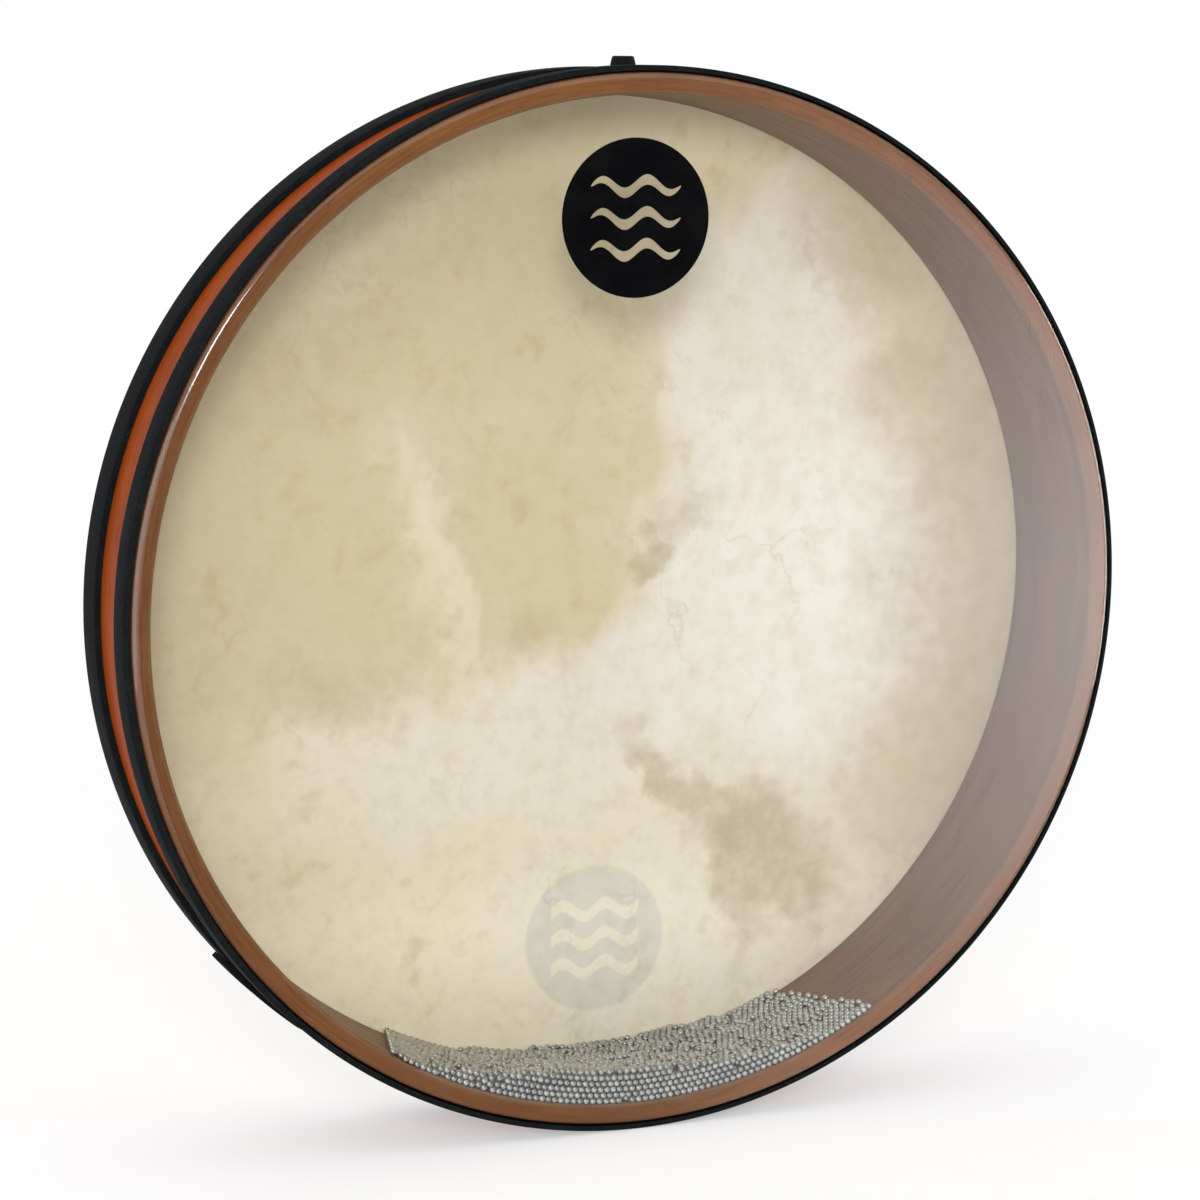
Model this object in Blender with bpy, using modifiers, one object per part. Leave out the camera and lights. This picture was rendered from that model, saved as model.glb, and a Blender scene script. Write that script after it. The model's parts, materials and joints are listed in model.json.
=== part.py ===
"""Sea drum: a shallow bent-wood frame drum with a clear film head in front and a skin head behind.

Steel balls lie loose between the heads. The drum is laid out face up and then stood on its
rim by the empty "drum_axis": in the layout, X is to the right, Y is up the face, +Z points out
of the clear head, and angles run anticlockwise from +X as seen from the clear head. In the
world the drum's axis is level along Y, the clear head faces -Y, and the rim's lowest point is
at the origin.
"""

import math

import bmesh
import bpy
from mathutils import Matrix, Vector

# Driving dimensions, in metres and degrees.
SHELL_OUTER = 0.2286  # an 18 in shell
SHELL_WALL = 0.0080
DRUM_DEPTH = 0.0698  # 2 3/4 in over both heads
GAP = 0.0003  # between pieces that touch on the real drum

HEAD_THICKNESS = 0.0005
SKIRT_THICKNESS = 0.0004
SKIRT_LENGTH = 0.012  # how far a head is turned down over the shell
OUTER_EDGE_RADIUS = 0.0025  # rounding of the shell's outer edges
INNER_EDGE_RADIUS = 0.0010

TRIM_THICKNESS = 0.0032
TRIM_CHAMFER = 0.0006
TRIM_SETBACK = 0.0005  # from a head's face to the trim's edge
FRONT_TRIM_WIDTH = 0.0156
REAR_TRIM_WIDTH = 0.0182
BUTT_ANGLE = 225.0  # where the front trim's two ends meet
BUTT_OPENING = 0.1
LAP_FREE_END = 221.25  # the rear trim's end, on top of its start
LAP_START = 232.5
LAP_RISE = 0.0024  # how far the lap stands above the single band
LAP_RAMP = 0.4  # the pared start comes up to full thickness over this angle

PLUG_ANGLE = 90.0
PLUG_HOLE_RADIUS = 0.0030
PLUG_CAP_RADIUS = 0.0062
PLUG_TOP_RADIUS = 0.0043
PLUG_SHOULDER = 0.0037  # straight part of the cap
PLUG_CAP_HEIGHT = 0.0078
PLUG_TOP_FILLET = 0.0008
PLUG_SHOULDER_FILLET = 0.0010
PLUG_STEM_SHORT = 0.0005  # the stem stops this far inside the wall

BADGE_RADIUS = 0.034
BADGE_THICKNESS = 0.00025
FRONT_BADGE_PLACE = (0.1695, 92.8)  # distance from the drum's axis, angle
REAR_BADGE_PLACE = (0.1637, 272.0)
WAVE_COUNT = 3
WAVE_SPACING = 0.0135
WAVE_LENGTH = 0.042
WAVE_HEIGHT = 0.0028
WAVE_STROKE = 0.0046

BALL_RADIUS = 0.0015
HEAP_CLEARANCE = 0.0005
FRONT_HEAP = {"start": 238.7, "end": 300.9, "depth": 0.0170, "peak": 0.45}
REAR_HEAP = {"start": 244.8, "end": 295.4, "depth": 0.0095, "peak": 0.56}
HEAP_ROUNDNESS = 1.5
LEFT_BALL_LANES = (0.030, 0.019, 0.008, -0.003, -0.014, -0.025)
RIGHT_BALL_LANES = (0.025, 0.014, 0.003, -0.008, -0.019, -0.030)
BALL_REACH = 1.4  # from the heap's end to a loose ball's middle, in ball radii

RING_STEPS = 96  # facets round the drum
FILLET_STEPS = 3
PLUG_STEPS = 24
PLUG_FILLET_STEPS = 2
BADGE_STEPS = 64
WAVE_STEPS = 16
BALL_SEGMENTS = 10
BALL_RINGS = 6
HEAP_STEPS = 28
HEAP_ROWS = 5

# What follows from them.
SHELL_INNER = SHELL_OUTER - SHELL_WALL
HALF_DEPTH = DRUM_DEPTH / 2
SHELL_HALF = HALF_DEPTH - HEAD_THICKNESS - GAP
SKIRT_INNER = SHELL_OUTER + GAP
SKIRT_OUTER = SKIRT_INNER + SKIRT_THICKNESS
TRIM_INNER = SKIRT_OUTER + GAP
TRIM_OUTER = TRIM_INNER + TRIM_THICKNESS
AXIS_HEIGHT = TRIM_OUTER
STEP_ANGLE = 360.0 / RING_STEPS
HEAP_OUTER = SHELL_INNER - HEAP_CLEARANCE
HEAP_HALF = SHELL_HALF - HEAP_CLEARANCE
BALL_ORBIT = SHELL_INNER - HEAP_CLEARANCE - BALL_RADIUS

WOOD = ("bent_wood", (0.40, 0.12, 0.035), 0.35, 0.0)
FILM = ("clear_film", (0.92, 0.94, 0.94), 0.05, 0.0)
SKIN = ("goat_skin", (0.72, 0.63, 0.47), 0.55, 0.0)
TRIM = ("black_trim", (0.018, 0.020, 0.021), 0.60, 0.0)
PLUG = ("black_rubber", (0.012, 0.012, 0.012), 0.65, 0.0)
BADGE = ("badge", (0.010, 0.010, 0.010), 0.40, 0.0)
STEEL = ("steel_balls", (0.55, 0.57, 0.56), 0.25, 1.0)


def on_ring(radius, angle, height):
    """The point at this radius and angle, in degrees, at this height in the layout."""
    turn = math.radians(angle)
    return Vector((radius * math.cos(turn), radius * math.sin(turn), height))


def material(spec):
    name, colour, roughness, metallic = spec
    if name in bpy.data.materials:
        return bpy.data.materials[name]
    made = bpy.data.materials.new(name)
    made.use_nodes = True
    shader = made.node_tree.nodes["Principled BSDF"]
    shader.inputs["Base Color"].default_value = (*colour, 1.0)
    shader.inputs["Roughness"].default_value = roughness
    shader.inputs["Metallic"].default_value = metallic
    return made


def place(name, data, finish, collection, parent):
    """A new object of the drum, in the drum's layout."""
    made = bpy.data.objects.new(name, data)
    made.data.materials.append(material(finish))
    collection.objects.link(made)
    made.parent = parent
    return made


def shade_smooth(obj, angle=35.0):
    obj.data.shade_smooth()
    obj.data.set_sharp_from_angle(angle=math.radians(angle))


def filleted(corners, steps=FILLET_STEPS):
    """An outline in (radius, height) whose corners (radius, height, fillet) are rounded by arcs."""
    outline = []
    for i, (radius, height, fillet) in enumerate(corners):
        corner = Vector((radius, height))
        if not fillet:
            outline.append(corner)
            continue
        before = (Vector(corners[i - 1][:2]) - corner).normalized()
        after = (Vector(corners[(i + 1) % len(corners)][:2]) - corner).normalized()
        half = before.angle(after) / 2
        centre = corner + (before + after).normalized() * (fillet / math.sin(half))
        first = corner + before * (fillet / math.tan(half)) - centre
        last = corner + after * (fillet / math.tan(half)) - centre
        sweep = first.angle_signed(last)
        for step in range(steps + 1):
            outline.append(centre + Matrix.Rotation(-sweep * step / steps, 2) @ first)
    return outline


def turned(name, outline, finish, collection, parent, closed=True, steps=RING_STEPS):
    """A profile in (radius, height), down its outer side, swept round the layout's Z axis."""
    mesh = bpy.data.meshes.new(name)
    points = [(radius, 0.0, height) for radius, height in outline]
    edges = [(i, i + 1) for i in range(len(points) - 1)]
    if closed:
        edges.append((len(points) - 1, 0))
    mesh.from_pydata(points, edges, [])
    made = place(name, mesh, finish, collection, parent)
    screw = made.modifiers.new("Turn", "SCREW")
    screw.axis = "Z"
    screw.steps = steps
    screw.render_steps = steps
    screw.use_smooth_shade = True
    screw.use_merge_vertices = True
    screw.merge_threshold = 0.00001
    return made


def loft(name, sections, finish, collection, parent):
    """A closed solid through sections that have the same number of points."""
    count = len(sections[0])
    bm = bmesh.new()
    rows = [[bm.verts.new(point) for point in section] for section in sections]
    for near, far in zip(rows, rows[1:]):
        for i in range(count):
            j = (i + 1) % count
            bm.faces.new((near[i], near[j], far[j], far[i]))
    bm.faces.new(reversed(rows[0]))
    bm.faces.new(rows[-1])
    bmesh.ops.recalc_face_normals(bm, faces=bm.faces)
    mesh = bpy.data.meshes.new(name)
    bm.to_mesh(mesh)
    bm.free()
    return place(name, mesh, finish, collection, parent)


def frame_shell(collection, cutters, parent):
    """The bent wooden ring, with rounded edges and the filler hole at its top."""
    top, bottom = SHELL_HALF, -SHELL_HALF
    corners = (
        (SHELL_INNER, top, INNER_EDGE_RADIUS),
        (SHELL_OUTER, top, OUTER_EDGE_RADIUS),
        (SHELL_OUTER, bottom, OUTER_EDGE_RADIUS),
        (SHELL_INNER, bottom, INNER_EDGE_RADIUS),
    )
    shell = turned("frame_shell", filleted(corners), WOOD, collection, parent)
    bpy.ops.mesh.primitive_cylinder_add(
        vertices=PLUG_STEPS, radius=PLUG_HOLE_RADIUS, depth=4 * SHELL_WALL
    )
    cutter = bpy.context.object
    cutter.name = "filler_hole_cutter"
    for owner in list(cutter.users_collection):
        owner.objects.unlink(cutter)
    cutters.objects.link(cutter)
    cutter.parent = parent
    cutter.location = on_ring(SHELL_OUTER - SHELL_WALL / 2, PLUG_ANGLE, 0.0)
    cutter.rotation_euler = (math.radians(90.0), 0.0, math.radians(PLUG_ANGLE - 90.0))
    cutter.hide_render = True
    cutter.display_type = "WIRE"
    cut = shell.modifiers.new("Filler hole", "BOOLEAN")
    cut.operation = "DIFFERENCE"
    cut.object = cutter


def head(name, finish, side, collection, parent):
    """A head: a thin disc turned down over the shell's outer edge. side is 1 in front, -1 behind."""
    face = HALF_DEPTH
    back = face - HEAD_THICKNESS
    skirt_end = face - SKIRT_LENGTH
    inner_bend = OUTER_EDGE_RADIUS + GAP
    corners = (
        (0.0, face, 0.0),
        (SKIRT_OUTER, face, inner_bend + SKIRT_THICKNESS),
        (SKIRT_OUTER, skirt_end, 0.0),
        (SKIRT_INNER, skirt_end, 0.0),
        (SKIRT_INNER, back, inner_bend),
        (0.0, back, 0.0),
    )
    made = turned(name, filleted(corners), finish, collection, parent, closed=False)
    if side < 0:
        made.rotation_euler = (math.radians(180.0), 0.0, 0.0)


def band_section(angle, inner, thickness, low, high):
    """A trim band's section at this angle, with its two outer corners chamfered."""
    outer = inner + thickness
    corners = (
        (inner, low),
        (inner, high),
        (outer - TRIM_CHAMFER, high),
        (outer, high - TRIM_CHAMFER),
        (outer, low + TRIM_CHAMFER),
        (outer - TRIM_CHAMFER, low),
    )
    return [on_ring(radius, angle, height) for radius, height in corners]


def front_trim(collection, parent):
    """The band round the clear head's edge, its two ends butted."""
    high = HALF_DEPTH - TRIM_SETBACK
    low = high - FRONT_TRIM_WIDTH
    angles = [BUTT_ANGLE - STEP_ANGLE * i for i in range(RING_STEPS + 1)]
    angles[-1] += BUTT_OPENING
    sections = [band_section(angle, TRIM_INNER, TRIM_THICKNESS, low, high) for angle in angles]
    loft("front_trim", sections, TRIM, collection, parent)


def rear_trim(collection, parent):
    """The band round the skin head's edge. Its start is pared thin, and its end laps over it."""
    low = -HALF_DEPTH + TRIM_SETBACK
    high = low + REAR_TRIM_WIDTH
    pared = LAP_RISE - GAP
    over = TRIM_INNER + LAP_RISE
    lap_steps = round((LAP_START - LAP_FREE_END) / STEP_ANGLE)
    sections = []
    for i in range(lap_steps + 1):
        angle = LAP_START - STEP_ANGLE * i
        sections.append(band_section(angle, TRIM_INNER, pared, low, high))
    ramp_end = LAP_FREE_END - LAP_RAMP
    sections.append(band_section(ramp_end, TRIM_INNER, TRIM_THICKNESS, low, high))
    for i in range(lap_steps + 1, RING_STEPS):
        angle = LAP_START - STEP_ANGLE * i
        sections.append(band_section(angle, TRIM_INNER, TRIM_THICKNESS, low, high))
    for i in range(RING_STEPS, RING_STEPS + lap_steps + 1):
        angle = LAP_START - STEP_ANGLE * i
        sections.append(band_section(angle, over, TRIM_THICKNESS, low, high))
    loft("rear_trim", sections, TRIM, collection, parent)


def filler_plug(collection, parent):
    """The tapered rubber cap on the shell's top, with its stem in the filler hole."""
    stem_length = SHELL_WALL - PLUG_STEM_SHORT + GAP
    corners = (
        (0.0, PLUG_CAP_HEIGHT, 0.0),
        (PLUG_TOP_RADIUS, PLUG_CAP_HEIGHT, PLUG_TOP_FILLET),
        (PLUG_CAP_RADIUS, PLUG_SHOULDER, PLUG_SHOULDER_FILLET),
        (PLUG_CAP_RADIUS, 0.0, 0.0),
        (PLUG_HOLE_RADIUS - GAP, 0.0, 0.0),
        (PLUG_HOLE_RADIUS - GAP, -stem_length, 0.0),
        (0.0, -stem_length, 0.0),
    )
    outline = filleted(corners, steps=PLUG_FILLET_STEPS)
    made = turned("filler_plug", outline, PLUG, collection, parent, closed=False, steps=PLUG_STEPS)
    made.location = on_ring(SHELL_OUTER + GAP, PLUG_ANGLE, 0.0)
    made.rotation_euler = (math.radians(-90.0), 0.0, math.radians(PLUG_ANGLE - 90.0))


def wave_outline(middle):
    """One closed wave of the badge's motif, centred on this height."""
    upper = []
    for i in range(WAVE_STEPS + 1):
        along = i / WAVE_STEPS
        x = (along - 0.5) * WAVE_LENGTH
        y = middle + WAVE_HEIGHT * math.sin(4 * math.pi * along)
        upper.append((x, y + WAVE_STROKE / 2))
    lower = [(x, y - WAVE_STROKE) for x, y in reversed(upper)]
    return upper + lower


def badge(name, place_on_head, side, collection, parent):
    """A round sticker with a generic motif of waves cut through it."""
    turns = [360.0 * i / BADGE_STEPS for i in range(BADGE_STEPS)]
    around = [on_ring(BADGE_RADIUS, turn, 0.0)[:2] for turn in turns]
    rows = [(i - (WAVE_COUNT - 1) / 2) * WAVE_SPACING for i in range(WAVE_COUNT)]
    flat = bpy.data.curves.new(name, "CURVE")
    flat.dimensions = "2D"
    flat.fill_mode = "BOTH"
    flat.extrude = BADGE_THICKNESS / 2
    for outline in [around] + [wave_outline(row) for row in rows]:
        spline = flat.splines.new("POLY")
        spline.points.add(len(outline) - 1)
        for point, (x, y) in zip(spline.points, outline):
            point.co = (x, y, 0.0, 1.0)
        spline.use_cyclic_u = True
    made = place(name, flat, BADGE, collection, parent)
    distance, angle = place_on_head
    made.location = on_ring(distance, angle, side * (HALF_DEPTH + GAP + BADGE_THICKNESS / 2))


def heap_depth(heap, along):
    """How deep the balls lie at this share of the way from the heap's left end to its right."""
    skew = math.log(0.5) / math.log(heap["peak"])
    hump = math.sin(math.pi * along**skew) ** HEAP_ROUNDNESS if 0.0 < along < 1.0 else 0.0
    ball = 2 * BALL_RADIUS
    return ball + (heap["depth"] - ball) * hump


def heap_end(side, height):
    """The angle of the heap's start or end at this height between the heads."""
    share = (height + HEAP_HALF) / (2 * HEAP_HALF)
    return REAR_HEAP[side] + (FRONT_HEAP[side] - REAR_HEAP[side]) * share


def ball_fill(collection, parent):
    """The heap of balls as one solid: it lies on the shell, deepest near the clear head."""
    heights = [HEAP_HALF * (2 * i / (HEAP_ROWS - 1) - 1) for i in range(HEAP_ROWS)]
    sections = []
    for i in range(HEAP_STEPS + 1):
        along = i / HEAP_STEPS
        on_wall, on_top = [], []
        for height in heights:
            share = (height + HEAP_HALF) / (2 * HEAP_HALF)
            start, end = heap_end("start", height), heap_end("end", height)
            angle = start + (end - start) * along
            rear, front = heap_depth(REAR_HEAP, along), heap_depth(FRONT_HEAP, along)
            depth = rear + (front - rear) * share
            on_wall.append(on_ring(HEAP_OUTER, angle, height))
            on_top.append(on_ring(HEAP_OUTER - depth, angle, height))
        sections.append(on_wall + on_top[::-1])
    loft("ball_fill", sections, STEEL, collection, parent)


def loose_balls(collection, parent):
    """Single balls lying just beyond the heap's two ends, each in a lane of its own."""
    mesh = bpy.data.meshes.new("loose_ball")
    bm = bmesh.new()
    bmesh.ops.create_uvsphere(
        bm, u_segments=BALL_SEGMENTS, v_segments=BALL_RINGS, radius=BALL_RADIUS
    )
    bm.to_mesh(mesh)
    bm.free()
    reach = math.degrees(BALL_REACH * BALL_RADIUS / BALL_ORBIT)
    lanes = [(lane, heap_end("start", lane) - reach) for lane in LEFT_BALL_LANES]
    lanes += [(lane, heap_end("end", lane) + reach) for lane in RIGHT_BALL_LANES]
    for number, (lane, angle) in enumerate(lanes, 1):
        made = bpy.data.objects.new(f"loose_ball_{number:02d}", mesh)
        if number == 1:
            mesh.materials.append(material(STEEL))
        collection.objects.link(made)
        made.parent = parent
        made.location = on_ring(BALL_ORBIT, angle, lane)


def smooth_turned_pieces(collection):
    for obj in collection.objects:
        if obj.type == "MESH":
            shade_smooth(obj)


def build():
    for obj in list(bpy.data.objects):
        bpy.data.objects.remove(obj, do_unlink=True)
    scene = bpy.context.scene
    drum = bpy.data.collections.new("sea_drum")
    cutters = bpy.data.collections.new("cutters")
    scene.collection.children.link(drum)
    scene.collection.children.link(cutters)
    axis = bpy.data.objects.new("drum_axis", None)
    drum.objects.link(axis)
    axis.location = (0.0, 0.0, AXIS_HEIGHT)
    axis.rotation_euler = (math.radians(90.0), 0.0, 0.0)

    frame_shell(drum, cutters, axis)
    head("clear_head", FILM, 1, drum, axis)
    head("skin_head", SKIN, -1, drum, axis)
    front_trim(drum, axis)
    rear_trim(drum, axis)
    filler_plug(drum, axis)
    badge("front_badge", FRONT_BADGE_PLACE, 1, drum, axis)
    badge("rear_badge", REAR_BADGE_PLACE, -1, drum, axis)
    ball_fill(drum, axis)
    loose_balls(drum, axis)
    smooth_turned_pieces(drum)


build()
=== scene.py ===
"""Looks of the sea drum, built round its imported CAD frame.

The drum stands on its rim: its axis is level along Y, the clear head faces -Y and the skin head +Y.
Places round the drum are given as (radius, angle, y): angles run anticlockwise from +X as seen from
the clear head, and y is the world's. Lengths are in metres and angles in degrees.
"""

import itertools
import json
import math

import bmesh
import bpy
import numpy as np
from mathutils import Matrix, Vector


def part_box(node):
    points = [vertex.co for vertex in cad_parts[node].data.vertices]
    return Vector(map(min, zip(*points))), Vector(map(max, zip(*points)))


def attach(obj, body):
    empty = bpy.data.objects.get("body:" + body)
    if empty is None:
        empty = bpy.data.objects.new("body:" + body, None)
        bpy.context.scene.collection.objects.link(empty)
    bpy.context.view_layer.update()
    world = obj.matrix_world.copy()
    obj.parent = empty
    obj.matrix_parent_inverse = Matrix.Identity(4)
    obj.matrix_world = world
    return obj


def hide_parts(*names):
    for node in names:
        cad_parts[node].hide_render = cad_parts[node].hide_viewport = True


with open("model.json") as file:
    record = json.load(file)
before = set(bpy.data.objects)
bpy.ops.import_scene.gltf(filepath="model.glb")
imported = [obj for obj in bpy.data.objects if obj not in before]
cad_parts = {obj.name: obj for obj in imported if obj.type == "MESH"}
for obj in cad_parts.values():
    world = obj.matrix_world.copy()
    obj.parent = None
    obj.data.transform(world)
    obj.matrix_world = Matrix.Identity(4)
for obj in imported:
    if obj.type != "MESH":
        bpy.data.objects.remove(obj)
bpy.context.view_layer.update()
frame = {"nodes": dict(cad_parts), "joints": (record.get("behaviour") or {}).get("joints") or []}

# The camera, from a fit to the drum's own circles.
CAMERA_AZIMUTH = -22.94
CAMERA_ELEVATION = 8.81
CAMERA_ROLL = 0.65
CAMERA_DISTANCE = 1.549
CAMERA_LENS_MM = 104.84
CAMERA_AIM_LEFT = 0.00731  # the aim passes this far to the left of the drum's axis
CAMERA_AIM_DOWN = 0.00089


def cad_radii(node):
    """The smallest and largest distance of a node's corners from the drum's axis."""
    points = np.array([v.co for v in frame["nodes"][node].data.vertices])
    radii = np.hypot(points[:, 0] - AXIS.x, points[:, 2] - AXIS.z)
    return radii.min(), radii.max()


# What the frame says.
AXIS = Vector(next(j["pos_m"] for j in frame["joints"] if j["type"] == "hinge"))
SHELL_INNER, SHELL_OUTER = cad_radii("frame_shell")
SHELL_FRONT, SHELL_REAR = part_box("frame_shell")[0].y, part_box("frame_shell")[1].y
SKIRT_FRONT_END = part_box("clear_head")[1].y
SKIRT_REAR_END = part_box("skin_head")[0].y
_, TRIM_OUTER = cad_radii("front_trim")
BALL_RADIUS = (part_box("loose_ball_01")[1].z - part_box("loose_ball_01")[0].z) / 2

# Where the looks depart from it.
WOOD_PROUD = 0.0012  # the wood stands this much further out, under thinner bands
SHELL_OUTER += WOOD_PROUD
BAND_PROUD = 0.0010  # the front band's face stands this much further out
FRONT_SETBACK = 0.0010  # its front edge lies this much further back
PLUG_PROUD = 0.0008  # the cap's top stands this much higher
FRONT_FLARE = 0.0011  # the shell's inside is this much wider at the film than at the skin
RIM_INNER = SHELL_INNER + FRONT_FLARE
FRONT_LIP = 0.0011  # the shell's extra build under the front band, which hides it
FRONT_LIP_SHIFT = 0.0007  # how far that build lies off centre, towards +X
FRONT_LIP_END = SKIRT_FRONT_END + 0.0002

# The shell and the heads.
EDGE_OUTER = 0.0030  # the roundings of the shell's edges
EDGE_INNER = 0.0024
SCARF_ANGLE = 285.0  # where the bent wood's ends meet outside
GAP = 0.0003  # between the wood and a head
FILM = 0.00025  # the heads' thicknesses
SKIN = 0.0006
FILM_INSIDE = SHELL_FRONT - GAP / 2
SKIN_INSIDE = SHELL_REAR + GAP / 2
SKIN_RELIEF = 0.00008
RING_STEPS = 480
FILM_RINGS = 24
SKIN_STEPS, SKIN_RINGS = 420, 70

# The bands. The rear one is lapped, as in the CAD.
SNUG = 0.0001  # between a band and the skirt under it
BAND_FOOT = SHELL_OUTER + 0.0001  # beyond the skirt's end, a band lies on the wood itself
FOOT_STEP = 0.0010  # from the skirt's end to the foot
FOOT_SLOPE = 0.0003
TRIM_EDGE = 0.0006
HAND_CUT = 0.00012
BUTT_ANGLE = 225.0
BUTT_HALF_GAP = 0.05
LAP_FREE_END = 221.25
LAP_START = 232.5
LAP_RISE = 0.0024
LAP_RAMP = 3.75

# The plug. Its profile is given as (radius, height).
PLUG_ANGLE = 90.0
HOLE_RADIUS = 0.0030
CAP_DISH = ((0.0, -0.0005), (0.0016, -0.0004), (0.0024, -0.0001), (0.0030, 0.0))  # from its top
CAP_TAPER = ((0.0054, 0.0046), (0.0057, 0.0026), (0.0058, 0.0018))  # from its foot
CAP_TOP_RADIUS = 0.0049
CAP_TOP_ROUND = 0.0011
CAP_FOOT_HEIGHT = 0.0012
CAP_FOOT_ROUND = 0.0004
STEM_CHAMFER = 0.0006

# The badges.
BADGE_RADIUS = 0.034
WAVE_SPACING = 0.0135
WAVE_HEIGHT = 0.0028
WAVE_STROKE = 0.0046
WAVE_LENGTH = 0.042


def inner_wall(y):
    """The radius of the shell's inside at this y."""
    return SHELL_INNER + FRONT_FLARE * (SHELL_REAR - y) / (SHELL_REAR - SHELL_FRONT)


def front_lip(angle):
    return FRONT_LIP + FRONT_LIP_SHIFT * math.cos(math.radians(angle))


# ---------- meshes

SHARP = 35.0  # degrees


def linked(name, data):
    """A new object in the scene."""
    made = bpy.data.objects.new(name, data)
    bpy.context.scene.collection.objects.link(made)
    return made


def at(radius, angle, y):
    turn = math.radians(angle)
    return Vector((AXIS.x + radius * math.cos(turn), y, AXIS.z + radius * math.sin(turn)))


def mesh_object(name, points, faces, finish, sharp=SHARP):
    mesh = bpy.data.meshes.new(name)
    mesh.from_pydata(points, [], faces)
    mesh.update()
    made = linked(name, mesh)
    mesh.materials.append(finish)
    mesh.shade_smooth()
    mesh.set_sharp_from_angle(angle=math.radians(sharp))
    return made


def clean(obj, merge=1e-6):
    """Merges points that coincide and turns every face out."""
    bm = bmesh.new()
    bm.from_mesh(obj.data)
    bmesh.ops.remove_doubles(bm, verts=bm.verts, dist=merge)
    bmesh.ops.recalc_face_normals(bm, faces=bm.faces)
    bm.to_mesh(obj.data)
    bm.free()
    obj.data.shade_smooth()
    obj.data.set_sharp_from_angle(angle=math.radians(SHARP))
    return obj


def swept(name, outline, angles, finish, whole=True):
    """A closed outline carried round the drum.

    outline(angle) gives its points as (radius, y). A whole ring joins up; another has its
    ends capped.
    """
    sections = []
    for angle in angles:
        points = np.array(outline(angle))
        turn = math.radians(angle)
        x = AXIS.x + points[:, 0] * math.cos(turn)
        z = AXIS.z + points[:, 0] * math.sin(turn)
        sections.append(np.stack([x, points[:, 1], z], axis=1))
    count, size = len(sections), len(sections[0])
    faces = []
    for i in range(count if whole else count - 1):
        near, far = i * size, (i + 1) % count * size
        for j in range(size):
            k = (j + 1) % size
            faces.append((near + j, near + k, far + k, far + j))
    if not whole:
        faces += [range(size), range((count - 1) * size, count * size)]
    return clean(mesh_object(name, np.concatenate(sections).tolist(), faces, finish))


def arc(centre, radius, start, end, steps=6):
    """Points of an arc in (radius, y), from one angle to another."""
    turns = np.radians(np.linspace(start, end, steps + 1))
    return [(centre[0] + radius * math.cos(t), centre[1] + radius * math.sin(t)) for t in turns]


def full_circle(steps):
    return np.arange(steps) * 360.0 / steps


# ---------- materials


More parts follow.
